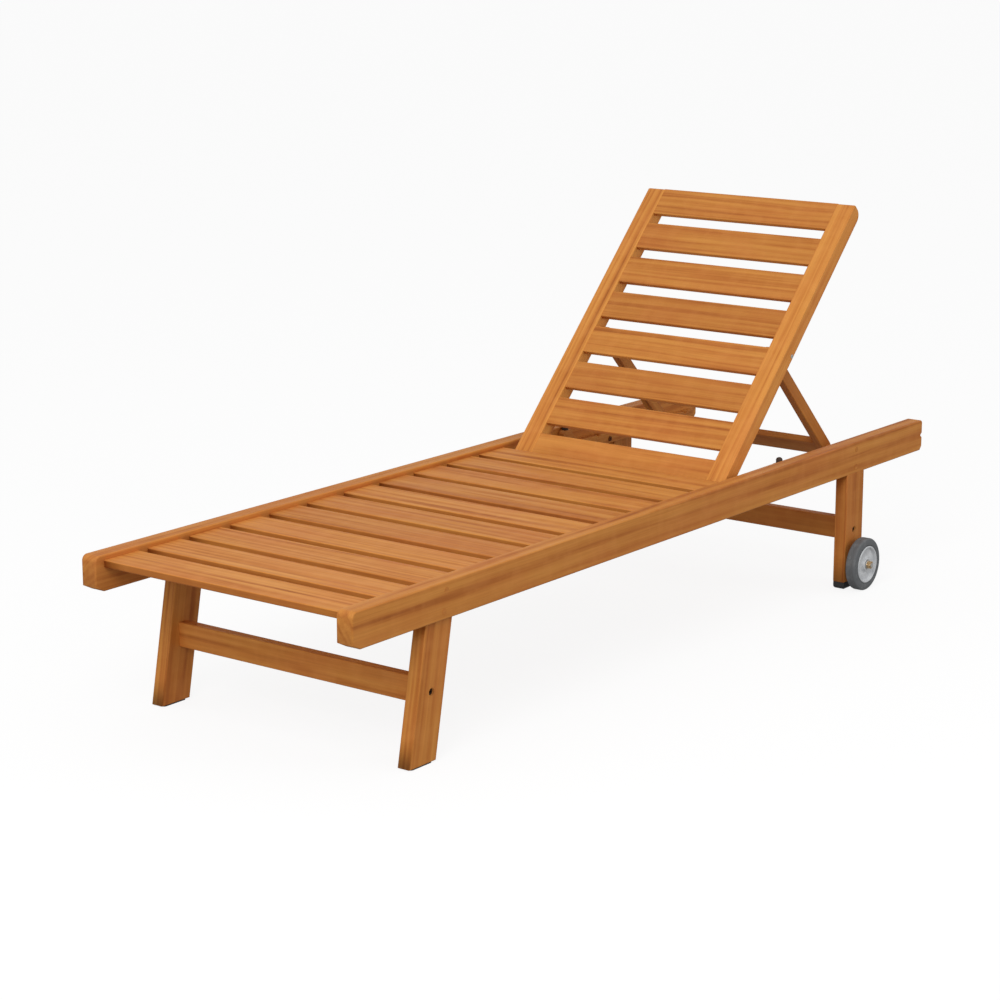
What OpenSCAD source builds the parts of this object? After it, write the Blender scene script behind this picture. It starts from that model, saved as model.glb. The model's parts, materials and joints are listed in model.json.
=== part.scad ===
// Reclining garden sun lounger in oiled hardwood: a slatted deck on four legs, a slatted back that
// pivots between the side rails, a folding prop that rests on two notched racks, and two wheels.
//
// Axes: +Z is up, +Y runs from the foot end to the head end, X runs across. The origin is on the
// ground, under the middle of the lounger. "Left" is the side of +X, the left hand of a person who
// lies on it. Left pieces are drawn and right pieces are their mirror images.

/* [Overall] */
// Length of the side rails
rail_l = 2000; // [1960:10:2060]
// Width over the two side rails
deck_w = 646; // [630:2:680]
// Height of the top of the side rails above the ground
rail_top = 328; // [320:2:350]

/* [Boards] */
// Thickness of a side rail
rail_t = 36; // [36:1:38]
// Height of a side rail
rail_h = 69; // [69:1:76]
// Thickness of a leg board
leg_t = 29; // [27:1:30]
// Width of a leg board
leg_w = 73; // [68:1:78]
// Thickness of a stretcher between two legs
stretcher_t = 24; // [22:1:26]
// Height of a stretcher
stretcher_h = 48; // [42:1:52]

/* [Seat] */
// Width of a seat slat
seat_slat_w = 89; // [84:1:91]
// Thickness of a seat slat
seat_slat_t = 14; // [12:1:16]
// Distance from one seat slat to the next
seat_pitch = 112; // [110:0.5:112]
// How far the top of the seat slats lies below the top of the rails
seat_drop = 10; // [8:1:11]

/* [Back] */
// Width of a back stile, seen from the front
stile_w = 45; // [42:1:48]
// Depth of a back stile, from front to rear
stile_t = 35; // [35:1:36]
// Length of the back above its pivot
back_l = 733; // [732:1:736]
// Width of a back slat
back_slat_w = 70; // [66:1:74]
// Thickness of a back slat
back_slat_t = 11; // [10:0.5:11]
// Angle of the back above the horizontal
back_angle = 45.7; // [20:0.1:60]

/* [Wheels] */
// Outer radius of a tyre
tyre_r = 58; // [54:1:60]
// Width of a tyre
tyre_w = 24; // [20:1:24]

/* [Hidden] */

$fn = 48;
eps = 0.01;             // overlap that keeps cuts clean
slack = 0.2;            // play of a glued joint
turn_gap = 0.05;        // radial play of a turning joint
side_gap = 0.3;         // side play between faces that turn on each other

wood = "peru";
shaded_wood = "sienna";
steel = "silver";
black = "dimgray";

// --- side rails
rail_out = deck_w / 2;
rail_in = rail_out - rail_t;
rail_bottom = rail_top - rail_h;
foot_y = -rail_l / 2;
head_y = rail_l / 2;
rail_edge_r = 3;
rail_foot_r = 12;       // rounding of the top corner at the foot end
rail_head_r = 7;        // the same at the head end
rail_foot_cut = [22, 11];   // length and height of the chamfer under the foot end
rail_head_cut = [8, 9];     // the same under the head end
rail_notch = [6, 5];    // depth and half height of the groove across the head end

// --- seat slats
first_slat_y = foot_y + 22;
seat_z = rail_top - seat_drop;
slat_edge_r = 2;
slat_tenon = [7, 9, 60];    // length, thickness and width of a slat's tenon
slat_tenon_r = 2;

// --- legs
front_leg_y = foot_y + 196; // centre line of the front legs on the ground
front_rake = 10.9;
front_inset = 8;
rear_leg_y = head_y - 300;  // centre line of the upright rear legs
rear_inset = 0;
front_foot_z = 2.5;         // underside of the front legs, on their glides
rear_foot_z = 18;           // underside of the rear legs, on their caps
cap_gap = 1.5;              // between the rear caps and the ground
cap_corner_r = 8;
cap_edge_r = 6;
leg_edge_r = 2.5;
leg_tenon = [12, 54, 60];   // thickness, width and height of a leg's tenon
tenon_x = rail_in + rail_t / 2;     // middle of the leg tenons
leg_screw_z = [rail_bottom + 15, rail_bottom + 53];
screw_r = 2.5;
screw_head = [5.5, 3];      // radius and thickness
plug_r = 6;
plug_l = 6;
plug_proud = 0.3;

// --- stretchers and their bolts
stretcher_z = 133;          // middle of both stretchers
stretcher_edge_r = 2.5;
stretcher_tenon = [8, 12, 32];      // length, thickness and height
stretcher_bolt_z = 132;
bolt_r = 3;
bolt_l = 62;
bolt_sink = 4;              // depth of the bolt head below the face of the leg
bolt_head = [6.5, 4];
bolt_seat_r = 7.5;
barrel_r = 5;
barrel_l = 16;
barrel_reach = 50;          // barrel nut's distance from the face of the leg

// --- back frame, in its own axes: s runs up the back from its pivot, n out of its front face
pivot_y = 257;
pivot_z = seat_z - stile_t / 2;
rail_gap = 18;              // between a rail and a back stile
stile_out = rail_in - rail_gap;
stile_in = stile_out - stile_w;
stile_edge_r = 2.5;
stile_head_r = 20;          // rounding of the rear top corner
stile_front_r = 5;          // rounding of the front top corner
back_pitch = 97.2;
back_slat_sink = 1;         // slats lie this much below the faces of the stiles
back_slat_n = stile_t / 2 - back_slat_sink - back_slat_t / 2;
back_tenon = [10, 6, 46];   // length, thickness and width
pivot_r = 4;
bush_r = 6;
pivot_head = [6.5, 7.5];
pivot_seat = [7.5, 9];      // recess for the head in the stile: radius and depth
insert_l = 18;
spacer_r = 9;

// --- prop: its struts turn on the stiles, and both links have the same length, so that the bar
// between the struts runs in a straight line through the back's pivot as the back is raised
strut_s = 345;
strut_n = -10.5;
strut_w = 28;
strut_t = 19;
strut_edge_r = 2;
strut_bolt_r = 3;
strut_bolt_head = [4.5, 3.5];
strut_washer = [7, 1];
strut_nut = [5.6, 6];
strut_l = norm([strut_s, strut_n]);
path_fall = 0.6;            // slope of the bar's path towards the head end
prop_angle = -back_angle + atan(-strut_n / strut_s) - 2 * path_fall;
strut_out = stile_in - strut_washer[1] - side_gap;
strut_in = strut_out - strut_t;
bar_w = 46;
bar_t = 16;
bar_edge_r = 2;
journal_r = 7;
journal_end = rail_in - 4;

// --- racks: notched strips on the inner faces of the rails, under the ends of the bar
rack_t = 16;
rack_play = 0.5;            // between the ends of the bar and the tips of the teeth
rack_bottom = rail_bottom + 5;
rack_head_y = 965;
ear_y = [431, 464];
ear_z = 321;                // top of the raised front end
notch_r = 7.6;
notch_depth = 5;
notch_first_y = 569;
notch_pitch = 90;
notch_count = 5;
rack_screw_y = [512, 612, 792, 882];
rack_screw_z = rack_bottom + 10;
buffer_r = 7;
buffer_h = 7;               // straight part of a buffer
buffer_stem = [3, 8];

// --- wheels: stations along the axle
axle_r = 5;
axle_z = tyre_r;
axle_head = [8.5, 7];
washer_r = 10;
wheel_x = rail_out + 8;     // inner end of the hub
hub_l = 28.5;
hub_r = 14.5;
wheel_bush_r = 8;
rim_r = 41;
web_t = 3;
tyre_x = wheel_x + 4;       // inner face of the tyre
tyre_shoulder = 5;
outer_washer_t = 2;
axle_nut = [8.5, 7.5];
axle_end = wheel_x + hub_l + outer_washer_t + axle_nut[1] + 1.5;

// Height of the path of the bar's axis at the place y
function path_z(y) = pivot_z - (y - pivot_y) * tan(path_fall);

// Centre line of a front leg at the height z
function front_leg_at(z) = front_leg_y + z * tan(front_rake);

// ---------------------------------------------------------------- shared shapes

// Rectangle with rounded corners, centred
module soft_rect(w, h, r) {
    square([w - 2 * r, h], center = true);
    square([w, h - 2 * r], center = true);
    for (x = [-1, 1], y = [-1, 1])
        translate([x * (w / 2 - r), y * (h / 2 - r)])
            circle(r);
}

// Turns an outline drawn in Y and Z into a solid between x1 and x2
module across(x1, x2) {
    translate([x1, 0, 0])
        rotate([90, 0, 90])
            linear_extrude(x2 - x1)
                children();
}

// Cylinder along X
module rod_x(x1, x2, r) {
    across(x1, x2) circle(r);
}

// Hexagonal prism along X, with r the radius over its corners
module hex_x(x1, x2, r) {
    across(x1, x2) circle(r, $fn = 6);
}

// Draws its children on both sides of the lounger
module both_sides() {
    children();
    mirror([1, 0, 0]) children();
}

// Axes of the back frame
module back_axes() {
    translate([0, pivot_y, pivot_z])
        rotate([back_angle, 0, 0])
            children();
}

// Axes of the prop, with the strut pivot at the origin and Y along the strut
module prop_axes() {
    back_axes()
        translate([0, strut_s, strut_n])
            rotate([prop_angle - back_angle, 0, 0])
                children();
}

// ---------------------------------------------------------------- side rails

module rail_outline() {
    difference() {
        translate([foot_y, rail_bottom]) square([rail_l, rail_h]);
        // rounded top corners
        translate([foot_y, rail_top]) corner_cut(rail_foot_r);
        translate([head_y, rail_top]) mirror([1, 0]) corner_cut(rail_head_r);
        // chamfers underneath
        polygon([[foot_y - 1, rail_bottom - 1], [foot_y + rail_foot_cut[0], rail_bottom - 1],
            [foot_y + rail_foot_cut[0], rail_bottom], [foot_y, rail_bottom + rail_foot_cut[1]],
            [foot_y - 1, rail_bottom + rail_foot_cut[1]]]);
        polygon([[head_y + 1, rail_bottom - 1], [head_y - rail_head_cut[0], rail_bottom - 1],
            [head_y - rail_head_cut[0], rail_bottom], [head_y, rail_bottom + rail_head_cut[1]],
            [head_y + 1, rail_bottom + rail_head_cut[1]]]);
        // groove across the head end
        translate([head_y, rail_bottom + rail_h / 2])
            polygon([[-rail_notch[0], 0], [1, rail_notch[1]], [1, -rail_notch[1]]]);
    }
}

// What rounding with radius r takes off a top left corner at the origin
module corner_cut(r) {
    difference() {
        translate([-1, -r]) square([r + 1, r + 1]);
        translate([r, -r]) circle(r);
    }
}

// Mortises and screw holes of one leg. Its centre line passes y at the ground and leans by rake.
module leg_sockets(y, rake) {
    intersection() {
        translate([tenon_x, y, 0])
            rotate([-rake, 0, 0])
                linear_extrude(rail_top + 50)
                    square([leg_tenon[0] + 2 * slack, leg_tenon[1] + 2 * slack], center = true);
        translate([rail_in, y - 150, rail_bottom - 1])
            cube([rail_t, 400, leg_tenon[2] + 1 + slack]);
    }
    for (z = leg_screw_z)
        translate([0, y + z * tan(rake), z]) {
            rod_x(tenon_x, rail_out + 1, screw_r + slack);
            rod_x(rail_out - plug_l - screw_head[1], rail_out + 1, plug_r);
        }
}

module side_rail() {
    color(wood)
        difference() {
            intersection() {
                across(rail_in, rail_out) rail_outline();
                translate([rail_in + rail_t / 2, 0, rail_bottom + rail_h / 2])
                    rotate([90, 0, 0])
                        linear_extrude(rail_l + 2, center = true)
                            soft_rect(rail_t, rail_h, rail_edge_r);
            }
            for (i = [0 : 10])
                translate([rail_in - 1, first_slat_y + i * seat_pitch + seat_slat_w / 2, seat_z - seat_slat_t / 2])
                    across(0, slat_tenon[0] + 1 + slack)
                        soft_rect(slat_tenon[2] + 2 * slack, slat_tenon[1] + 2 * slack, slat_tenon_r);
            leg_sockets(front_leg_y, front_rake);
            leg_sockets(rear_leg_y, 0);
            // blind hole for the pivot's threaded insert
            translate([0, pivot_y, pivot_z])
                rod_x(rail_in - 1, rail_in + insert_l + slack, bush_r);
            for (y = rack_screw_y)
                translate([0, y, rack_screw_z])
                    rod_x(rail_in - 1, rail_in + 18, screw_r);
        }
}

// ---------------------------------------------------------------- seat

// Seat slat number i, counted from the foot end
module seat_slat(i) {
    color(wood)
        translate([0, first_slat_y + (i - 1) * seat_pitch + seat_slat_w / 2, seat_z - seat_slat_t / 2]) {
            across(-rail_in, rail_in) soft_rect(seat_slat_w, seat_slat_t, slat_edge_r);
            across(-rail_in - slat_tenon[0], rail_in + slat_tenon[0])
                soft_rect(slat_tenon[2], slat_tenon[1], slat_tenon_r);
        }
}

// ---------------------------------------------------------------- legs

// Leg whose centre line passes y at the ground and leans by rake
module leg(y, rake, inset, foot_z) {
    x = rail_out - inset - leg_t / 2;
    intersection() {
        translate([x, y, 0])
            rotate([-rake, 0, 0])
                translate([0, 0, -50])
                    linear_extrude(rail_top + 100)
                        soft_rect(leg_t, leg_w, leg_edge_r);
        translate([0, y - 150, foot_z])
            cube([rail_out, 400, rail_bottom - foot_z]);
    }
    intersection() {
        translate([tenon_x, y, 0])
            rotate([-rake, 0, 0])
                linear_extrude(rail_top + 50)
                    square([leg_tenon[0], leg_tenon[1]], center = true);
        translate([0, y - 150, rail_bottom - 1])
            cube([rail_out, 400, leg_tenon[2] + 1]);
    }
}

// Holes that a leg needs for its stretcher and for its screws
module leg_holes(y, rake, inset) {
    outer = rail_out - inset;
    inner = outer - leg_t;
    translate([0, y + stretcher_z * tan(rake), stretcher_z])
        across(inner - 1, inner + stretcher_tenon[0] + slack)
            square([stretcher_tenon[1] + 2 * slack, stretcher_tenon[2] + 2 * slack], center = true);
    translate([0, y + stretcher_z * tan(rake), stretcher_bolt_z]) {
        rod_x(inner, outer + 1, bolt_r + slack);
        rod_x(outer - bolt_sink - bolt_head[1], outer + 1, bolt_seat_r);
    }
    for (z = leg_screw_z)
        translate([0, y + z * tan(rake), z])
            rod_x(tenon_x - leg_tenon[0] / 2 + 1, rail_out, screw_r);
}

module front_leg() {
    color(wood)
        difference() {
            leg(front_leg_y, front_rake, front_inset, front_foot_z);
            leg_holes(front_leg_y, front_rake, front_inset);
        }
}

module rear_leg() {
    color(wood)
        difference() {
            leg(rear_leg_y, 0, rear_inset, rear_foot_z);
            leg_holes(rear_leg_y, 0, rear_inset);
            translate([0, rear_leg_y, axle_z])
                rod_x(0, rail_out + 1, axle_r);
        }
}

// ---------------------------------------------------------------- stretchers

// Stretcher between two legs whose centre line passes y at its height
module stretcher(y, inset) {
    inner = rail_out - inset - leg_t;
    color(shaded_wood)
        difference() {
            translate([0, y, stretcher_z]) {
                across(-inner, inner) soft_rect(stretcher_t, stretcher_h, stretcher_edge_r);
                across(-inner - stretcher_tenon[0], inner + stretcher_tenon[0])
                    square([stretcher_tenon[1], stretcher_tenon[2]], center = true);
            }
            both_sides() {
                translate([0, y, stretcher_bolt_z])
                    rod_x(rail_out - inset - bolt_l - 6, rail_out, bolt_r + slack);
                // hole for the barrel nut, open to the rear
                translate([rail_out - inset - barrel_reach, y - barrel_l / 2, stretcher_bolt_z])
                    rotate([-90, 0, 0])
                        cylinder(h = 100, r = barrel_r);
            }
        }
}

// Bolt through the outer face of a leg, at x, into the end of a stretcher
module stretcher_bolt(x, y) {
    translate([0, y, stretcher_bolt_z])
        difference() {
            union() {
                rod_x(x - bolt_l, x - bolt_sink, bolt_r);
                rod_x(x - bolt_sink - bolt_head[1], x - bolt_sink, bolt_head[0]);
            }
            hex_x(x - bolt_sink - 2.5, x, 3);
        }
}

module barrel_nut(x, y) {
    translate([x - barrel_reach, y, stretcher_bolt_z])
        difference() {
            rotate([90, 0, 0]) cylinder(h = barrel_l, r = barrel_r - turn_gap, center = true);
            rod_x(-20, 20, bolt_r + turn_gap);
        }
}

module stretcher_bolts() {
    color(steel)
        both_sides() {
            stretcher_bolt(rail_out - front_inset, front_leg_at(stretcher_z));
            stretcher_bolt(rail_out - rear_inset, rear_leg_y);
        }
}

module barrel_nuts() {
    color(steel)
        both_sides() {
            barrel_nut(rail_out - front_inset, front_leg_at(stretcher_z));
            barrel_nut(rail_out - rear_inset, rear_leg_y);
        }
}

// ---------------------------------------------------------------- screws and plugs in the rails

// Places its children at the four leg screws of the left rail
module at_leg_screws() {
    for (z = leg_screw_z) {
        translate([0, front_leg_at(z), z]) children();
        translate([0, rear_leg_y, z]) children();
    }
}

module leg_screws() {
    head_x = rail_out - plug_l;
    color(steel)
        both_sides()
            at_leg_screws() {
                rod_x(tenon_x - leg_tenon[0] / 2 + 2, head_x, screw_r - turn_gap);
                rod_x(head_x - screw_head[1], head_x, screw_head[0]);
            }
}

module rail_plugs() {
    color(wood)
        both_sides()
            at_leg_screws()
                rod_x(rail_out - plug_l, rail_out + plug_proud, plug_r - turn_gap);
}

// ---------------------------------------------------------------- feet

module front_glides() {
    color(black)
        both_sides()
            translate([rail_out - front_inset - leg_t / 2, front_leg_at(front_foot_z), 0])
                linear_extrude(front_foot_z)
                    soft_rect(leg_t - 5, leg_w - 13, 6);
}

// Side view of a rear cap below the axle: flat in front of it, and round behind it, so that the cap
// clears the ground as the lounger is tilted onto its wheels
module cap_outline() {
    half = leg_w / 2 - 1;
    height = rear_foot_z - cap_gap;
    intersection() {
        union() {
            translate([-half, cap_gap])
                difference() {
                    square([half, height]);
                    mirror([0, 1]) corner_cut(cap_corner_r);
                }
            translate([0, axle_z]) circle(axle_z - cap_gap, $fn = 96);
        }
        translate([-half, cap_gap]) square([2 * half, height]);
    }
}

// Caps under the rear legs
module rear_leg_caps() {
    width = leg_t - 2;
    x = rail_out - rear_inset - leg_t / 2;
    height = 2 * rear_foot_z;
    color(black)
        both_sides()
            intersection() {
                translate([0, rear_leg_y, 0]) across(x - width / 2, x + width / 2) cap_outline();
                translate([x, rear_leg_y, cap_gap + height / 2])
                    rotate([90, 0, 0])
                        linear_extrude(2 * leg_w, center = true)
                            soft_rect(width, height, cap_edge_r);
            }
}

// ---------------------------------------------------------------- racks

module rack_outline() {
    tip = journal_r + rack_play;
    difference() {
        polygon([[ear_y[0], rack_bottom], [rack_head_y, rack_bottom],
            [rack_head_y, path_z(rack_head_y) - tip], [ear_y[1] + 22, path_z(ear_y[1] + 22) - tip],
            [ear_y[1], ear_z - 8], [ear_y[1] - 4, ear_z], [ear_y[0] + 4, ear_z], [ear_y[0], ear_z - 8]]);
        for (i = [0 : notch_count - 1]) {
            y = notch_first_y + i * notch_pitch;
            translate([y, path_z(y) - tip - notch_depth + notch_r]) circle(notch_r);
        }
    }
}

module rack() {
    color(shaded_wood)
        difference() {
            across(rail_in - rack_t, rail_in) rack_outline();
            for (y = rack_screw_y)
                translate([0, y, rack_screw_z])
                    rod_x(0, rail_in + 1, screw_r + slack);
            translate([rail_in - rack_t / 2, (ear_y[0] + ear_y[1]) / 2, ear_z - buffer_stem[1] - 1])
                cylinder(h = 50, r = buffer_stem[0]);
        }
}

module rack_screws() {
    face = rail_in - rack_t;
    color(black)
        both_sides()
            for (y = rack_screw_y)
                translate([0, y, rack_screw_z])
                    difference() {
                        union() {
                            rod_x(face - 1, rail_in + 16, screw_r - turn_gap);
                            rod_x(face - 2.5, face, screw_head[0]);
                        }
                        hex_x(face - 3, face - 1, 2);
                    }
}

// Rubber side buffers of the back, on the raised front ends of the racks
module rack_buffers() {
    color(black)
        both_sides()
            translate([rail_in - rack_t / 2, (ear_y[0] + ear_y[1]) / 2, ear_z]) {
                translate([0, 0, -buffer_stem[1]]) cylinder(h = buffer_stem[1] + 1, r = buffer_stem[0] - turn_gap);
                cylinder(h = buffer_h, r = buffer_r);
                intersection() {
                    translate([0, 0, buffer_h]) scale([1, 1, 0.8]) sphere(buffer_r);
                    translate([0, 0, buffer_h + 10]) cube(20, center = true);
                }
            }
}

// ---------------------------------------------------------------- back pivots

module pivot_bolts() {
    head_x = stile_in + pivot_seat[1] - pivot_head[1] - side_gap;
    color(steel)
        both_sides()
            translate([0, pivot_y, pivot_z])
                difference() {
                    union() {
                        rod_x(head_x, rail_in + insert_l - 1, pivot_r);
                        rod_x(head_x, head_x + pivot_head[1], pivot_head[0]);
                    }
                    hex_x(head_x - 1, head_x + 4, 3.4);
                }
}

module pivot_inserts() {
    color("goldenrod")
        both_sides()
            translate([0, pivot_y, pivot_z])
                difference() {
                    rod_x(rail_in, rail_in + insert_l, bush_r - turn_gap);
                    rod_x(rail_in - 1, rail_in + insert_l + 1, pivot_r + turn_gap);
                }
}

module pivot_spacers() {
    color(black)
        both_sides()
            translate([0, pivot_y, pivot_z])
                difference() {
                    rod_x(stile_out + side_gap, rail_in, spacer_r);
                    rod_x(stile_out, rail_in + 1, pivot_r + slack);
                }
}

// ---------------------------------------------------------------- back frame

module stile_outline() {
    half = stile_t / 2;
    circle(half);
    translate([0, -half]) square([back_l - stile_head_r, stile_t]);
    translate([back_l - stile_head_r, stile_head_r - half]) circle(stile_head_r);
    translate([back_l - stile_front_r, half - stile_front_r]) circle(stile_front_r);
    translate([back_l - stile_head_r - eps, stile_head_r - half])
        square([stile_head_r - stile_front_r + eps, stile_t - stile_head_r]);
    translate([back_l - stile_head_r - eps, stile_head_r - half])
        square([stile_head_r + eps, stile_t - stile_head_r - stile_front_r]);
}

// Lower edge of back slat i, counted from the top
function back_slat_s(i) = back_l - (i - 1) * back_pitch - back_slat_w / 2;

module back_stile() {
    color(wood)
        back_axes()
            difference() {
                intersection() {
                    across(stile_in, stile_out) stile_outline();
                    translate([(stile_in + stile_out) / 2, back_l / 2, 0])
                        rotate([90, 0, 0])
                            linear_extrude(2 * back_l, center = true)
                                soft_rect(stile_w, stile_t, stile_edge_r);
                }
                for (i = [1 : 8])
                    translate([0, back_slat_s(i) + (i == 8 ? 8 : 0), back_slat_n])
                        across(stile_in - 1, stile_in + back_tenon[0] + slack)
                            square([back_tenon[2] + 2 * slack, back_tenon[1] + 2 * slack], center = true);
                rod_x(stile_in - 1, stile_out + 1, bush_r);
                rod_x(stile_in - 1, stile_in + pivot_seat[1], pivot_seat[0]);
                translate([0, strut_s, strut_n]) {
                    rod_x(stile_in - 1, stile_out + 1, strut_bolt_r);
                    rod_x(stile_out - strut_bolt_head[1], stile_out + 1, strut_bolt_head[0]);
                }
            }
}

// Back slat number i, counted from the top. The tenons of the lowest one sit higher, above the
// round ends of the stiles.
module back_slat(i) {
    color(wood)
        back_axes()
            translate([0, back_slat_s(i), back_slat_n]) {
                across(-stile_in, stile_in) soft_rect(back_slat_w, back_slat_t, slat_edge_r);
                translate([0, i == 8 ? 8 : 0, 0])
                    across(-stile_in - back_tenon[0], stile_in + back_tenon[0])
                        square([back_tenon[2], back_tenon[1]], center = true);
            }
}

module pivot_bushes() {
    color(black)
        back_axes()
            both_sides()
                difference() {
                    rod_x(stile_in + pivot_seat[1], stile_out, bush_r - turn_gap);
                    rod_x(stile_in, stile_out + 1, pivot_r + turn_gap);
                }
}

// ---------------------------------------------------------------- prop

// Draws its children at the strut pivot, along the axes of the back
module at_strut_pivot() {
    back_axes() translate([0, strut_s, strut_n]) both_sides() children();
}

module strut_bolts() {
    color(steel)
        at_strut_pivot()
            difference() {
                union() {
                    rod_x(strut_in - strut_washer[1] - strut_nut[1] - 2, stile_out, strut_bolt_r - turn_gap);
                    rod_x(stile_out - strut_bolt_head[1] + side_gap, stile_out + side_gap,
                        strut_bolt_head[0] - turn_gap);
                }
                hex_x(stile_out - 1.5, stile_out + 1, 2);
            }
}

module strut_washers() {
    color(steel)
        at_strut_pivot()
            for (x = [strut_out + side_gap, strut_in - side_gap - strut_washer[1]])
                difference() {
                    rod_x(x, x + strut_washer[1], strut_washer[0]);
                    rod_x(x - 1, x + strut_washer[1] + 1, strut_bolt_r);
                }
}

module strut_nuts() {
    x = strut_in - side_gap - strut_washer[1] - strut_nut[1];
    color(steel)
        at_strut_pivot()
            difference() {
                hex_x(x, x + strut_nut[1], strut_nut[0]);
                rod_x(x - 1, x + strut_nut[1] + 1, strut_bolt_r);
            }
}

module prop_strut() {
    color(shaded_wood)
        prop_axes()
            difference() {
                intersection() {
                    across(strut_in, strut_out) {
                        circle(strut_w / 2);
                        translate([strut_l, 0]) circle(strut_w / 2);
                        translate([0, -strut_w / 2]) square([strut_l, strut_w]);
                    }
                    translate([(strut_in + strut_out) / 2, strut_l / 2, 0])
                        rotate([90, 0, 0])
                            linear_extrude(2 * strut_l, center = true)
                                soft_rect(strut_t, strut_w, strut_edge_r);
                }
                rod_x(strut_in - 1, strut_out + 1, strut_bolt_r + turn_gap);
                translate([0, strut_l, 0])
                    rod_x(strut_in - 1, strut_out + 1, journal_r + turn_gap);
            }
}

// Crossbar of the prop: a board with round ends that pass through the struts to the racks
module prop_crossbar() {
    color(shaded_wood)
        prop_axes()
            translate([0, strut_l, 0]) {
                across(-strut_in, strut_in) soft_rect(bar_w, bar_t, bar_edge_r);
                rod_x(-journal_end, journal_end, journal_r);
            }
}

// ---------------------------------------------------------------- wheels

module axle_bolts() {
    inner = rail_out - rear_inset - leg_t;
    color(steel)
        both_sides()
            translate([0, rear_leg_y, axle_z]) {
                rod_x(inner, axle_end, axle_r - turn_gap);
                hex_x(inner - axle_head[1], inner, axle_head[0]);
            }
}

module axle_washers() {
    color(steel)
        both_sides()
            translate([0, rear_leg_y, axle_z])
                for (span = [[rail_out, wheel_x - side_gap],
                        [wheel_x + hub_l + side_gap, wheel_x + hub_l + outer_washer_t]])
                    difference() {
                        rod_x(span[0], span[1], washer_r);
                        rod_x(span[0] - 1, span[1] + 1, axle_r);
                    }
}

module axle_nuts() {
    x = wheel_x + hub_l + outer_washer_t;
    color("goldenrod")
        both_sides()
            translate([0, rear_leg_y, axle_z])
                difference() {
                    hex_x(x, x + axle_nut[1], axle_nut[0]);
                    rod_x(x - 1, x + axle_nut[1] + 1, axle_r);
                }
}

// Turns a profile of radius against distance from the lounger's middle about the axle
module wheel_turned() {
    translate([0, rear_leg_y, axle_z])
        rotate([0, 90, 0])
            rotate_extrude($fn = 96)
                children();
}

module tyre() {
    color(black)
        wheel_turned()
            difference() {
                translate([rim_r, tyre_x]) square([tyre_r - rim_r, tyre_w]);
                for (side = [0, 1])
                    translate([tyre_r, tyre_x + side * tyre_w])
                        mirror([0, side])
                            difference() {
                                translate([-tyre_shoulder, -1]) square([tyre_shoulder + 1, tyre_shoulder + 1]);
                                translate([-tyre_shoulder, tyre_shoulder]) circle(tyre_shoulder);
                            }
            }
}

module wheel_rim() {
    web_x = tyre_x + tyre_w / 2 - web_t / 2;
    color(steel)
        wheel_turned() {
            // hub
            translate([wheel_bush_r, wheel_x]) square([hub_r - wheel_bush_r, hub_l]);
            // web
            translate([hub_r - 1, web_x]) square([rim_r - hub_r - 1, web_t]);
            // rim ring under the tyre
            translate([rim_r - 4, tyre_x + 0.5]) square([4 - turn_gap, tyre_w - 1]);
        }
}

module wheel_bush() {
    color("white")
        wheel_turned()
            translate([axle_r + turn_gap, wheel_x])
                square([wheel_bush_r - axle_r - 2 * turn_gap, hub_l]);
}

// ---------------------------------------------------------------- the lounger

side_rail();  // left_side_rail
mirror([1, 0, 0]) side_rail();  // right_side_rail
seat_slat(1);  // seat_slat_01
seat_slat(2);  // seat_slat_02
seat_slat(3);  // seat_slat_03
seat_slat(4);  // seat_slat_04
seat_slat(5);  // seat_slat_05
seat_slat(6);  // seat_slat_06
seat_slat(7);  // seat_slat_07
seat_slat(8);  // seat_slat_08
seat_slat(9);  // seat_slat_09
seat_slat(10);  // seat_slat_10
seat_slat(11);  // seat_slat_11
front_leg();  // left_front_leg
mirror([1, 0, 0]) front_leg();  // right_front_leg
rear_leg();  // left_rear_leg
mirror([1, 0, 0]) rear_leg();  // right_rear_leg
stretcher(front_leg_at(stretcher_z), front_inset);  // front_stretcher
stretcher(rear_leg_y, rear_inset);  // rear_stretcher
stretcher_bolts();
barrel_nuts();
leg_screws();
rail_plugs();
front_glides();
rear_leg_caps();
rack();  // left_rack
mirror([1, 0, 0]) rack();  // right_rack
rack_screws();
rack_buffers();
pivot_bolts();
pivot_inserts();
pivot_spacers();
axle_bolts();
axle_washers();
axle_nuts();
back_stile();  // left_back_stile
mirror([1, 0, 0]) back_stile();  // right_back_stile
back_slat(1);  // back_slat_1
back_slat(2);  // back_slat_2
back_slat(3);  // back_slat_3
back_slat(4);  // back_slat_4
back_slat(5);  // back_slat_5
back_slat(6);  // back_slat_6
back_slat(7);  // back_slat_7
back_slat(8);  // back_slat_8
pivot_bushes();
strut_bolts();
strut_washers();
strut_nuts();
prop_strut();  // left_prop_strut
mirror([1, 0, 0]) prop_strut();  // right_prop_strut
prop_crossbar();
tyre();  // left_tyre
wheel_rim();  // left_wheel_rim
wheel_bush();  // left_wheel_bush
mirror([1, 0, 0]) tyre();  // right_tyre
mirror([1, 0, 0]) wheel_rim();  // right_wheel_rim
mirror([1, 0, 0]) wheel_bush();  // right_wheel_bush
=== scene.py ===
"""Looks of the reclining garden lounger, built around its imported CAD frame.

The boards are oiled hardwood with eased edges, the wheels are moulded plastic with rubber tyres, and
the fittings are steel, brass, rubber and black plastic. Lengths are in metres, in the row's frame:
+Z up, +Y from the foot end to the head end, the origin on the ground under the middle."""

import json
import math
import random

import bmesh
import bpy
from mathutils import Matrix, Vector, noise

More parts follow.
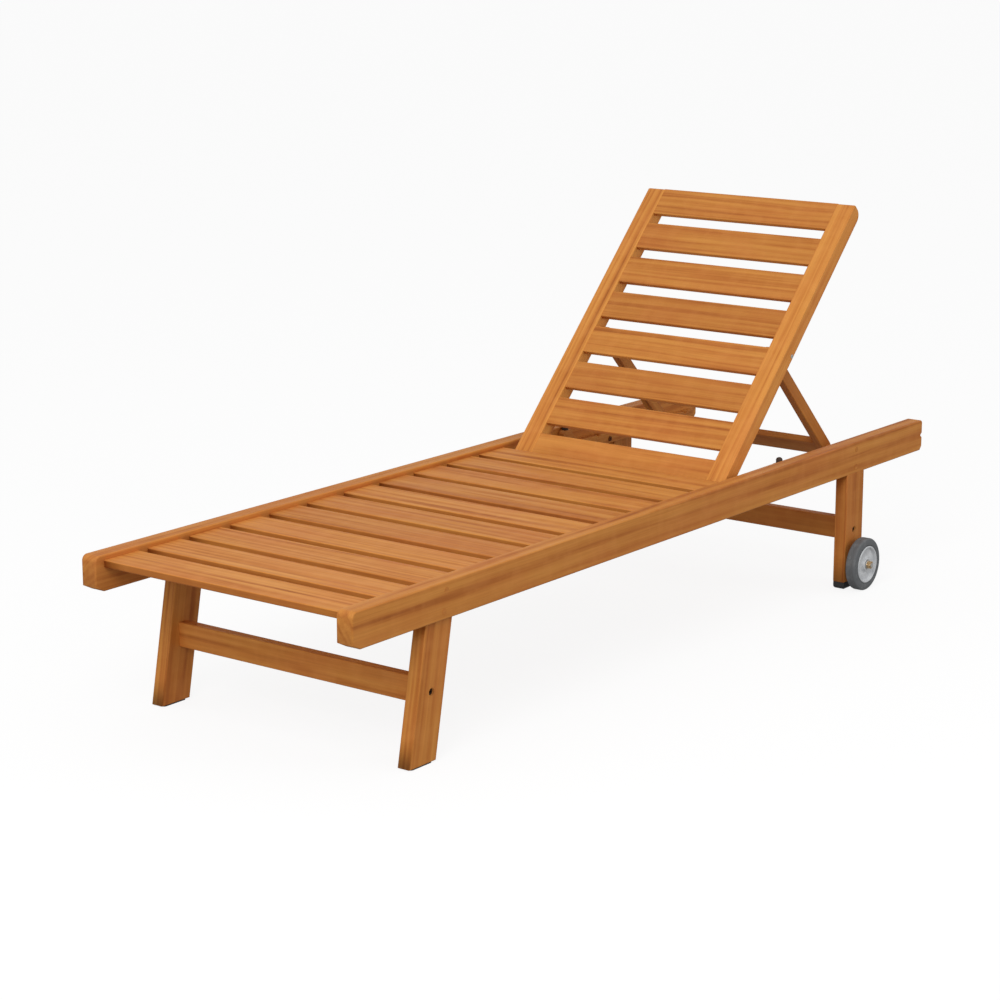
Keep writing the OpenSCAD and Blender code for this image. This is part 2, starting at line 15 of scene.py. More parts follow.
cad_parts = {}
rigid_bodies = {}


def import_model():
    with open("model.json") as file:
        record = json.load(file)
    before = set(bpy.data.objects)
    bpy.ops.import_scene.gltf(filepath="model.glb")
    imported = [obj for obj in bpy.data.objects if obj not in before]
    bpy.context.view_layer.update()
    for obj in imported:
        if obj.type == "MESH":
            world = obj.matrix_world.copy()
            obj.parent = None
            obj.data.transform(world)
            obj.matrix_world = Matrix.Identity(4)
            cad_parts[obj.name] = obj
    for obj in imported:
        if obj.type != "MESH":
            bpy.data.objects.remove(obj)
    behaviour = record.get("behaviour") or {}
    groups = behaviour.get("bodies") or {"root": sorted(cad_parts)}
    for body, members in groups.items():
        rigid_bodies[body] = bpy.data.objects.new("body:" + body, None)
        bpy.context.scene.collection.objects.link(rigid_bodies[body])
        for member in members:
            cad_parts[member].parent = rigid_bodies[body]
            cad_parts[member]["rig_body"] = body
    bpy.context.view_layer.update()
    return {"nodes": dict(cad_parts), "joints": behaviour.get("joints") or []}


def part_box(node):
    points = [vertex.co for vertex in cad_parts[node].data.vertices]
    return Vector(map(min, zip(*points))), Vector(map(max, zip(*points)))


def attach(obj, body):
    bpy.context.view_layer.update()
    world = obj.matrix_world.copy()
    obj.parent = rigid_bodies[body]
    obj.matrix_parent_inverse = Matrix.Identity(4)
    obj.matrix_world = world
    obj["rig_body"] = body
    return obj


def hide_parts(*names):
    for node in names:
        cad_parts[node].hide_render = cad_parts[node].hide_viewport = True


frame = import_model()

# ------------------------------------------------------------------ places, from the frame

MM = 0.001
X_AXIS, Y_AXIS, Z_AXIS = Vector((1, 0, 0)), Vector((0, 1, 0)), Vector((0, 0, 1))
JOINTS = {joint["name"]: joint for joint in frame["joints"]}

BACK_PIVOT = Vector(JOINTS["backrest_recline"]["pos_m"])
STRUT_PIVOT = Vector(JOINTS["prop_fold"]["pos_m"])
AXLE = Vector(JOINTS["left_wheel_spin"]["pos_m"])


def middle(node):
    """Centre of a CAD node's box."""
    low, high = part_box(node)
    return (low + high) / 2


def slope(vector):
    """Angle of a vector above the +Y axis."""
    return math.atan2(vector.z, vector.y)


# The strut pivot lies this far up the back and in front of the line through its pivot.
STRUT_PIVOT_ON_BACK = Vector((0.345, -0.0105))
BACK_ANGLE = slope(STRUT_PIVOT - BACK_PIVOT) - math.atan2(STRUT_PIVOT_ON_BACK.y, STRUT_PIVOT_ON_BACK.x)
BAR = middle("prop_crossbar")
PROP_ANGLE = slope(BAR - STRUT_PIVOT)

rail_low, rail_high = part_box("left_side_rail")
stile_low, stile_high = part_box("left_back_stile")
strut_low, strut_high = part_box("left_prop_strut")
rack_low, rack_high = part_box("left_rack")

INTO = 2 * MM  # how far a board runs into the one it is tenoned into


def tilted(angle):
    """Axes of a board that leans by angle in the lounger's side view: along it, and out of its face."""
    along = Vector((0, math.cos(angle), math.sin(angle)))
    return along, X_AXIS.cross(along)


BACK_ALONG, BACK_FACE = tilted(BACK_ANGLE)
PROP_ALONG, PROP_FACE = tilted(PROP_ANGLE)


def axes(origin, u, v, w):
    """Matrix that takes a board's own coordinates u, v, w to the row's frame."""
    made = Matrix((u, v, w)).transposed().to_4x4()
    made.translation = origin
    return made


# ------------------------------------------------------------------ outlines


def arc(centre, radius, start, end, steps=8):
    """Points on an arc, between two angles in degrees."""
    made = []
    for i in range(steps + 1):
        a = math.radians(start + (end - start) * i / steps)
        made.append((centre[0] + radius * math.cos(a), centre[1] + radius * math.sin(a)))
    return made


def rectangle(u0, u1, v0, v1):
    return [(u0, v0), (u1, v0), (u1, v1), (u0, v1)]


def inset(outline, distance):
    """The outline, which runs anticlockwise, moved inwards by distance."""
    made = []
    count = len(outline)
    for i in range(count):
        before = Vector(outline[i - 1])
        here = Vector(outline[i])
        after = Vector(outline[(i + 1) % count])
        into = (here - before).normalized()
        out = (after - here).normalized()
        inward = Vector((-into.y - out.y, into.x + out.x)).normalized()
        reach = distance / max(0.3, inward.dot(Vector((-into.y, into.x))))
        made.append(tuple(here + inward * reach))
    return made


# ------------------------------------------------------------------ meshes

RIM_STEPS = 3  # facets round the rim of a board
HOLE_SEGMENTS = 32


def rim_levels(w0, w1, rim):
    """(inset, w) of the loops of a board from one face to the other, round both of its rims."""
    levels = []
    for i in range(RIM_STEPS + 1):
        a = math.pi / 2 * i / RIM_STEPS
        levels.append((rim * (1 - math.sin(a)), w0 + rim * (1 - math.cos(a))))
    return levels + [(d, w0 + w1 - w) for d, w in reversed(levels)]


def add_prism(mesh, outline, w0, w1, rim, place):
    """Adds a board to a bmesh: an outline in u and v, between w0 and w1, with rounded rims."""
    loops = []
    for distance, w in rim_levels(w0, w1, rim):
        shrunk = inset(outline, distance)
        loops.append([mesh.verts.new(place @ Vector((u, v, w))) for u, v in shrunk])
    count = len(outline)
    for lower, upper in zip(loops, loops[1:]):
        for i in range(count):
            j = (i + 1) % count
            mesh.faces.new((lower[i], lower[j], upper[j], upper[i]))
    mesh.faces.new(loops[0])
    mesh.faces.new(loops[-1])


def add_lathe(mesh, profile, origin, segments, ripple=None):
    """Adds a solid turned about a line along X through origin. The profile is a closed run of (radius,
    station) points, and ripple(radius, angle, station) moves a point along the axis."""
    rings = []
    for i in range(segments):
        a = 2 * math.pi * i / segments
        ring = []
        for radius, station in profile:
            shift = ripple(radius, a, station) if ripple else 0
            at = Vector((station + shift, radius * math.cos(a), radius * math.sin(a)))
            ring.append(mesh.verts.new(origin + at))
        rings.append(ring)
    count = len(profile)
    for i in range(segments):
        here, there = rings[i], rings[(i + 1) % segments]
        for k in range(count):
            m = (k + 1) % count
            mesh.faces.new((here[k], here[m], there[m], there[k]))


def slice_along(mesh, place, start, end, pitch):
    """Cuts a board across its grain at even steps, so that it can bow."""
    along = (place.to_3x3() @ X_AXIS).normalized()
    steps = max(1, round((end - start) / pitch))
    for i in range(1, steps):
        at = place @ Vector((start + (end - start) * i / steps, 0, 0))
        everything = mesh.verts[:] + mesh.edges[:] + mesh.faces[:]
        bmesh.ops.bisect_plane(mesh, geom=everything, plane_co=at, plane_no=along)


def to_object(mesh, name):
    """Turns a bmesh into an object with outward faces and smooth shading."""
    bmesh.ops.recalc_face_normals(mesh, faces=mesh.faces[:])
    data = bpy.data.meshes.new(name)
    mesh.to_mesh(data)
    mesh.free()
    data.shade_smooth()
    piece = bpy.data.objects.new(name, data)
    bpy.context.scene.collection.objects.link(piece)
    return piece


def weigh_normals(piece):
    """Keeps flat faces flat beside their rounded rims."""
    weighted = piece.modifiers.new("weighted_normals", "WEIGHTED_NORMAL")
    weighted.keep_sharp = True
    weighted.weight = 100


def cut_holes(piece, holes):
    """Bores round holes in a piece. A hole is (start, end, radius), with both ends on its axis."""
    for start, end, radius in holes:
        tool_mesh = bmesh.new()
        length = (end - start).length
        turn = (end - start).to_track_quat("Z", "Y").to_matrix().to_4x4()
        place = Matrix.Translation((start + end) / 2) @ turn
        bmesh.ops.create_cone(tool_mesh, cap_ends=True, segments=HOLE_SEGMENTS, radius1=radius,
                              radius2=radius, depth=length, matrix=place)
        tool = to_object(tool_mesh, "drill")
        boolean = piece.modifiers.new("hole", "BOOLEAN")
        boolean.operation = "DIFFERENCE"
        boolean.solver = "EXACT"
        boolean.object = tool
        bpy.context.view_layer.update()
        evaluated = piece.evaluated_get(bpy.context.evaluated_depsgraph_get())
        bored = bpy.data.meshes.new_from_object(evaluated)
        piece.modifiers.clear()
        piece.data = bored
        bpy.data.objects.remove(tool)


# ------------------------------------------------------------------ wooden boards

BOW = 0.25 * MM  # how far a board wanders from its true line
BOW_LENGTH = 0.45
SLICE = 0.06

# Darkest and lightest tone of each kind of board, from 0 to 1, chosen by how light it should look
# under the studio's light. The spans are partly the wood's own tone and partly painted light and shade:
# the low spans of the rear stretcher, crossbar and prop struts, which lie in shadow under the seat and
# the back, are painted shade, and the high span of the front stretcher is painted light.
TONES_AND_SHADE = {
    "stile": (0.88, 1.00),
    "seat_slat": (0.42, 0.75),
    "back_slat": (0.35, 0.72),
    "side_rail": (0.36, 0.44),
    "front_stretcher": (0.85, 0.95),
    "rear_stretcher": (0.02, 0.08),
    "leg": (0.36, 0.52),
    "rack": (0.15, 0.30),
    "prop_strut": (0.10, 0.30),
    "crossbar": (0.00, 0.04),
}

# Painted shade: a seat slat's edges and underside get a darker tone than its top, which paints the
# shade in the gaps between the slats. It starts this far below the top.
SLAT_EDGE_SHADE = 0.0
SLAT_SHADE_FROM = 1.5 * MM


def season(piece, place, seed):
    """Gives a board its wood: coordinates along and across the grain, offset so that each board comes
    from another part of a log, its tone, which holds painted light and shade as well as its own tone,
    and a slight bow."""
    draw = random.Random(seed)
    offset = Vector((draw.uniform(1, 40), draw.uniform(-55, 55) * MM, draw.uniform(30, 90) * MM))
    tone = next(draw.uniform(*span) for kind, span in TONES_AND_SHADE.items() if kind in seed)
    inverse = place.inverted()
    data = piece.data
    face = max((inverse @ vertex.co).z for vertex in data.vertices)
    v_axis = place.to_3x3() @ Y_AXIS
    w_axis = place.to_3x3() @ Z_AXIS
    grain = []
    tones = []
    for vertex in data.vertices:
        local = inverse @ vertex.co
        grain.extend(local + offset)
        # painted shade: a seat slat's edges and underside take the darkest tone
        in_slat_shade = "seat_slat" in seed and local.z < face - SLAT_SHADE_FROM
        tones.append(SLAT_EDGE_SHADE if in_slat_shade else tone)
        wander = local.x / BOW_LENGTH
        vertex.co += v_axis * BOW * noise.noise(Vector((wander, offset.x, 0)))
        vertex.co += w_axis * BOW * noise.noise(Vector((wander, offset.x, 7)))
    data.attributes.new("board", "FLOAT_VECTOR", "POINT").data.foreach_set("vector", grain)
    data.attributes.new("tone", "FLOAT", "POINT").data.foreach_set("value", tones)


def board(node, outline, w0, w1, rim, place, wood, holes=(), extra=None):
    """A board that stands for a CAD node. Its u axis runs along the grain."""
    mesh = bmesh.new()
    add_prism(mesh, outline, w0, w1, rim, place)
    if extra:
        extra(mesh)
    reach = [u for u, v in outline]
    slice_along(mesh, place, min(reach), max(reach), SLICE)
    piece = to_object(mesh, node + "_board")
    cut_holes(piece, holes)
    season(piece, place, node)
    piece.data.materials.clear()
    piece.data.materials.append(wood)
    weigh_normals(piece)
    body = frame["nodes"][node]["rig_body"]
    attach(piece, body)
    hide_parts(node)
    return piece


SIDE_VIEW = axes(Vector(), Y_AXIS, Z_AXIS, X_AXIS)  # u to the head end, v up, w to the left
PLAN = axes(Vector(), X_AXIS, Y_AXIS, Z_AXIS)  # u to the left, v to the head end, w up
SIDES = {"left": 1, "right": -1}


def span(side, low, high):
    """The stretch between two distances from the lounger's middle, on one side."""
    return (low, high) if side > 0 else (-high, -low)


def side_rail(name, side, wood):
    foot, head = rail_low.y, rail_high.y
    bottom, top = rail_low.z, rail_high.z
    foot_r, head_r = 12 * MM, 7 * MM
    foot_cut = (22 * MM, 11 * MM)
    head_cut = (8 * MM, 9 * MM)
    groove = (6 * MM, 5 * MM)
    half_way = (bottom + top) / 2
    outline = [(foot + foot_cut[0], bottom), (head - head_cut[0], bottom), (head, bottom + head_cut[1])]
    outline += [(head, half_way - groove[1]), (head - groove[0], half_way), (head, half_way + groove[1])]
    outline += arc((head - head_r, top - head_r), head_r, 0, 90, 5)
    outline += arc((foot + foot_r, top - foot_r), foot_r, 90, 180)
    outline += [(foot, bottom + foot_cut[1])]
    w0, w1 = span(side, rail_low.x, rail_high.x)
    board(name, outline, w0, w1, 3 * MM, SIDE_VIEW, wood)


def seat_slat(name, wood):
    low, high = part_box(name)
    reach = rail_low.x + INTO
    outline = rectangle(-reach, reach, low.y, high.y)
    board(name, outline, low.z, high.z, 2 * MM, PLAN, wood)


LEG_W = 73 * MM
FRONT_RAKE = math.radians(10.9)
BOLT_SEAT_R = 7.5 * MM
BOLT_SEAT_DEPTH = 8 * MM
BOLT_Z = 132 * MM
STRETCHER_Z = 133 * MM


def leg(name, side, rake, wood):
    """A leg board, cut level at its foot and under the rail."""
    low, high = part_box(name)
    top = rail_low.z
    half = LEG_W / 2
    lean = math.tan(rake)
    ground_y = low.y - low.z * lean + half / math.cos(rake)
    along = Vector((0, math.sin(rake), math.cos(rake)))
    across = Vector((0, math.cos(rake), -math.sin(rake)))
    place = axes(Vector((0, ground_y, 0)), along, across, X_AXIS)

    def corner(z, v):
        return ((z + v * math.sin(rake)) / math.cos(rake), v)

    outline = [corner(low.z, -half), corner(top + INTO, -half)]
    outline += [corner(top + INTO, half), corner(low.z, half)]
    inner, outer = (low.x, high.x) if side > 0 else (-high.x, -low.x)
    w0, w1 = span(side, inner, outer)
    bolt = Vector((side * outer, ground_y + STRETCHER_Z * lean, BOLT_Z))
    into = Vector((-side * BOLT_SEAT_DEPTH, 0, 0))
    board(name, outline, w0, w1, 2.5 * MM, place, wood, holes=[(bolt - into, bolt + into, BOLT_SEAT_R)])


def stretcher(name, reach, wood):
    low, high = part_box(name)
    outline = rectangle(-reach - INTO, reach + INTO, low.z, high.z)
    place = axes(Vector(), X_AXIS, Z_AXIS, Y_AXIS)
    board(name, outline, low.y, high.y, 2.5 * MM, place, wood)


JOURNAL_R = 7 * MM
JOURNAL_GAP = 0.5 * MM
PATH_FALL = math.radians(0.6)
NOTCH_COUNT = 5
NOTCH_FIRST_Y = 569 * MM
NOTCH_PITCH = 90 * MM


def rack(name, side, wood):
    """Notched strip, with a raised front end."""
    bottom, top = rack_low.z, rack_high.z
    front, back = rack_low.y, rack_high.y
    fall = math.tan(PATH_FALL)
    notch_r, notch_depth = 7.6 * MM, 5 * MM
    half_mouth = math.sqrt(notch_r**2 - (notch_r - notch_depth) ** 2)
    mouth_angle = math.degrees(math.acos(half_mouth / notch_r))

    def tip(y):
        return BACK_PIVOT.z - (y - BACK_PIVOT.y) * fall - JOURNAL_R - JOURNAL_GAP

    outline = [(front, bottom), (back, bottom), (back, tip(back))]
    for i in reversed(range(NOTCH_COUNT)):
        y = NOTCH_FIRST_Y + i * NOTCH_PITCH
        centre = (y, tip(y) - notch_depth + notch_r)
        outline += arc(centre, notch_r, -mouth_angle, -180 + mouth_angle, 10)
    ear = front + 33 * MM
    ear_foot = ear + 22 * MM
    cut_y, cut_z = 4 * MM, 8 * MM
    outline += [(ear_foot, tip(ear_foot)), (ear, top - cut_z), (ear - cut_y, top)]
    outline += [(front + cut_y, top), (front, top - cut_z)]
    w0, w1 = span(side, rack_low.x, rack_high.x)
    board(name, outline, w0, w1, 1 * MM, SIDE_VIEW, wood)


BACK_SIDE_VIEW = axes(BACK_PIVOT, BACK_ALONG, BACK_FACE, X_AXIS)
BACK_FRONT_VIEW = axes(BACK_PIVOT, X_AXIS, BACK_ALONG, BACK_FACE)
BACK_L = 733 * MM
STILE_HALF = 17.5 * MM
PIVOT_SEAT_R = 7.5 * MM
PIVOT_SEAT_DEPTH = 9 * MM
STRUT_SEAT_R = 4.6 * MM
STRUT_SEAT_DEPTH = 3.5 * MM


def back_stile(name, side, wood):
    head_r, front_r = 20 * MM, 5 * MM
    outline = arc((0, 0), STILE_HALF, 90, 270, 16)
    outline += arc((BACK_L - head_r, head_r - STILE_HALF), head_r, -90, 0)
    outline += arc((BACK_L - front_r, STILE_HALF - front_r), front_r, 0, 90, 4)
    w0, w1 = span(side, stile_low.x, stile_high.x)
    inner = Vector((side * stile_low.x, BACK_PIVOT.y, BACK_PIVOT.z))
    outer = Vector((side * stile_high.x, STRUT_PIVOT.y, STRUT_PIVOT.z))
    step = Vector((side * PIVOT_SEAT_DEPTH, 0, 0))
    head = Vector((side * STRUT_SEAT_DEPTH, 0, 0))
    holes = [(inner - step, inner + step, PIVOT_SEAT_R), (outer - head, outer + head, STRUT_SEAT_R)]
    board(name, outline, w0, w1, 2.5 * MM, BACK_SIDE_VIEW, wood, holes=holes)


def back_slat(name, wood):
    width, thickness, sink = 70 * MM, 11 * MM, 1 * MM
    s = (middle(name) - BACK_PIVOT).dot(BACK_ALONG)
    reach = stile_low.x + INTO
    outline = rectangle(-reach, reach, s - width / 2, s + width / 2)
    face = STILE_HALF - sink
    board(name, outline, face - thickness, face, 2 * MM, BACK_FRONT_VIEW, wood)


STRUT_W = 28 * MM
BAR_W, BAR_T = 46 * MM, 16 * MM
CORE_R = 0.1 * MM  # a lathe stops this far from its centre line


def prop_strut(name, side, wood):
    length = (BAR - STRUT_PIVOT).length
    place = axes(STRUT_PIVOT, PROP_ALONG, PROP_FACE, X_AXIS)
    half = STRUT_W / 2
    outline = arc((0, 0), half, 90, 270, 14) + arc((length, 0), half, -90, 90, 14)
    w0, w1 = span(side, strut_low.x, strut_high.x)
    board(name, outline, w0, w1, 2 * MM, place, wood)


def prop_crossbar(name, wood):
    """Board between the struts, with round ends that lie on the racks."""
    place = axes(BAR, X_AXIS, PROP_ALONG, PROP_FACE)
    reach = strut_low.x + INTO
    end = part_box(name)[1].x
    ease = 1.5 * MM

    def journals(mesh):
        profile = [(CORE_R, -end), (JOURNAL_R - ease, -end), (JOURNAL_R, ease - end)]
        profile += [(JOURNAL_R, end - ease), (JOURNAL_R - ease, end), (CORE_R, end)]
        add_lathe(mesh, profile, BAR, HOLE_SEGMENTS)

    outline = rectangle(-reach, reach, -BAR_W / 2, BAR_W / 2)
    board(name, outline, -BAR_T / 2, BAR_T / 2, 2 * MM, place, wood, extra=journals)


# ------------------------------------------------------------------ wheels

RIM_R = 41 * MM
TYRE_SEGMENTS = 128
SHOULDER_STEPS = 8
RIB_COUNT = 36
RIB_H = 0.8 * MM
RIB_SEGMENTS = 8  # facets round the wheel in each rib
RIB_STEPS = 8  # facets along each rib


def tyre_profile(inner, outer, tread_r):
    """Closed section of a tyre: flat tread with a moulding line, round shoulders, ringed sides."""
    shoulder = 5 * MM
    ring = 0.6 * MM
    ring_in, ring_out = RIM_R + 2.5 * MM, tread_r - shoulder - 2 * MM
    half_tread = (outer - inner) / 2 - shoulder
    mid = (inner + outer) / 2

    def side(station, outward):
        """Points of a side wall from the rim to the shoulder."""
        dip = station - outward * ring
        return [(RIM_R, dip), (ring_in, dip), (ring_in + ring, station), (ring_out, station),
                (ring_out + ring, dip), (tread_r - shoulder, dip)]

    def round_shoulder(station, outward):
        made = []
        dip = station - outward * ring
        depth = shoulder - ring
        for i in range(1, SHOULDER_STEPS):
            a = math.pi / 2 * i / SHOULDER_STEPS
            radius = tread_r - shoulder + shoulder * math.sin(a)
            made.append((radius, dip - outward * depth * (1 - math.cos(a))))
        return made

    mouth, bed, sunk_r = 1.2 * MM, 0.6 * MM, tread_r - 0.7 * MM
    groove = [(tread_r, mid + half_tread), (tread_r, mid + mouth), (sunk_r, mid + bed)]
    groove += [(sunk_r, mid - bed), (tread_r, mid - mouth), (tread_r, mid - half_tread)]
    made = side(outer, 1) + round_shoulder(outer, 1) + groove
    made += list(reversed(side(inner, -1) + round_shoulder(inner, -1)))
    return made


WEB_SINK = 5 * MM  # how far the dish lies behind the outer face of the tyre
WEB_T = 3 * MM
RIBS_FROM, RIBS_TO = 18.5 * MM, 34 * MM


def rim_profile(inner, outer, hub_start, hub_end):
    """Closed section of a wheel's rim, from the bore outwards: hub, dished web and a ring at the tyre."""
    hub_r, bore_r = 14.5 * MM, 8 * MM
    ring_r, proud, ease = 37 * MM, 1.2 * MM, 1.2 * MM
    web = outer - WEB_SINK
    back = web - WEB_T
    made = [(bore_r, hub_end), (hub_r - ease, hub_end), (hub_r, hub_end - ease)]
    made += [(hub_r + 0.3 * ease, web + 2 * ease), (hub_r + ease, web + 0.5 * ease)]
    for i in range(RIB_STEPS + 1):
        made.append((RIBS_FROM + (RIBS_TO - RIBS_FROM) * i / RIB_STEPS, web))
    made += [(ring_r - ease, web + 0.5 * ease), (ring_r - 0.4 * ease, web + 1.5 * ease)]
    made += [(ring_r, outer + proud - 0.6 * ease), (ring_r + 0.6 * ease, outer + proud)]
    made += [(RIM_R - ease, outer + proud), (RIM_R, outer + proud - ease)]
    made += [(RIM_R, inner - proud + ease), (RIM_R - ease, inner - proud), (ring_r + ease, inner - proud)]
    made += [(ring_r, inner + ease), (ring_r - ease, back - ease), (ring_r - 3 * ease, back)]
    made += [(hub_r + 2 * ease, back), (hub_r, back - 2 * ease)]
    made += [(hub_r, hub_start + ease), (bore_r, hub_start)]
    return made


def wheel(side_name, side, rubber, rim_plastic):
    """A tyre and its rim. Stations run outwards from the lounger's middle."""
    tyre_low, tyre_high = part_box("left_tyre")
    hub_low, hub_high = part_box("left_wheel_rim")
    inner, outer = tyre_low.x, tyre_high.x
    tread_r = (tyre_high.z - tyre_low.z) / 2
    mid = (inner + outer) / 2
    origin = Vector((0, AXLE.y, AXLE.z))

    def ribs(radius, angle, station):
        """Height of the fine radial ribs on the outer face of the web."""
        if not RIBS_FROM < radius < RIBS_TO or station < mid:
            return 0
        wave = 0.5 + 0.5 * math.cos(angle * RIB_COUNT)
        return RIB_H * wave**2

    def flipped(profile):
        return [(r, side * x) for r, x in profile]

    mesh = bmesh.new()
    add_lathe(mesh, flipped(tyre_profile(inner, outer, tread_r)), origin, TYRE_SEGMENTS)
    tyre = to_object(mesh, side_name + "_tyre_rubber")
    tyre.data.materials.append(rubber)
    mesh = bmesh.new()
    rim = flipped(rim_profile(inner, outer, hub_low.x, hub_high.x))
    add_lathe(mesh, rim, origin, RIB_COUNT * RIB_SEGMENTS,
              ripple=lambda radius, angle, x: side * ribs(radius, angle, side * x))
    hub = to_object(mesh, side_name + "_wheel_dish")
    hub.data.materials.append(rim_plastic)
    for piece, node, slot in ((tyre, "_tyre", "tyre_rubber"), (hub, "_wheel_rim", "rim_plastic")):
        weigh_normals(piece)
        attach(piece, side_name + "_wheel")
        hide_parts(side_name + node)


# ------------------------------------------------------------------ material nodes


class Graph:
    """A material's node tree, with short calls to add nodes to it."""

    def __init__(self, name):
        self.material = bpy.data.materials.new(name)
        self.material.use_nodes = True
        self.tree = self.material.node_tree
        self.shader = self.tree.nodes["Principled BSDF"]

    def add(self, kind, inputs=None, **settings):
        """Adds a node. inputs maps a socket's name or number to a value or to another socket."""
        made = self.tree.nodes.new("ShaderNode" + kind)
        for key, value in settings.items():
            setattr(made, key, value)
        for key, value in (inputs or {}).items():
            self.feed(made.inputs[key], value)
        return made

    def feed(self, socket, value):
        if isinstance(value, bpy.types.NodeSocket):
            self.tree.links.new(value, socket)
        else:
            socket.default_value = value

    def set(self, **values):
        """Sets or links the shader's own sockets, with _ for a space in their names."""
        for key, value in values.items():
            self.feed(self.shader.inputs[key.replace("_", " ")], value)

    def math(self, operation, a, b=0.0, c=0.0):
        return self.add("Math", {0: a, 1: b, 2: c}, operation=operation).outputs[0]

    def between(self, value, low, high, new_low=0.0, new_high=1.0):
        """value, stretched from one range to another and kept inside it."""
        inputs = {"Value": value, "From Min": low, "From Max": high, "To Min": new_low, "To Max": new_high}
        return self.add("MapRange", inputs, interpolation_type="SMOOTHSTEP").outputs[0]

    def stretched(self, vector, x, y, z):
        inputs = {0: vector, 1: (x, y, z)}
        return self.add("VectorMath", inputs, operation="MULTIPLY").outputs[0]

    def noise(self, vector, scale=1.0, detail=2.0, roughness=0.5):
        inputs = {"Vector": vector, "Scale": scale, "Detail": detail, "Roughness": roughness}
        return self.add("TexNoise", inputs).outputs[0]

    def mix(self, factor, a, b, blend="MIX"):
        made = self.add("Mix", data_type="RGBA", blend_type=blend)
        self.feed(made.inputs[0], factor)
        self.feed(made.inputs[6], a)
        self.feed(made.inputs[7], b)
        return made.outputs[2]

    def ramp(self, value, stops):
        """Colours at places from 0 to 1."""
        made = self.add("ValToRGB", {0: value})
        points = made.color_ramp.elements
        while len(points) < len(stops):
            points.new(0.5)
        for point, (place, colour) in zip(points, stops):
            point.position = place
            point.color = colour
        return made.outputs[0]

    def bump(self, height, strength, distance):
        inputs = {"Height": height, "Strength": strength, "Distance": distance}
        self.set(Normal=self.add("Bump", inputs).outputs[0])


def rgb(red, green, blue):
    """Linear colour from the 0 to 255 values of a screen colour."""

    def linear(value):
        share = value / 255
        return share / 12.92 if share <= 0.04045 else ((share + 0.055) / 1.055) ** 2.4

    return (linear(red), linear(green), linear(blue), 1.0)


# ------------------------------------------------------------------ materials

PLUG_TONE = 0.38
LIGHTEST = (1.16, 1.20, 1.24, 1)  # what the colours of the lightest board are multiplied by
DARKEST = (0.74, 0.68, 0.62, 1)

# Colours from the pale early wood to the dark late wood of a growth ring
RING_COLOURS = (
    (0.0, (221, 150, 70)),
    (0.38, (211, 138, 62)),
    (0.68, (198, 122, 52)),
    (0.88, (180, 105, 42)),
    (1.0, (158, 88, 34)),
)


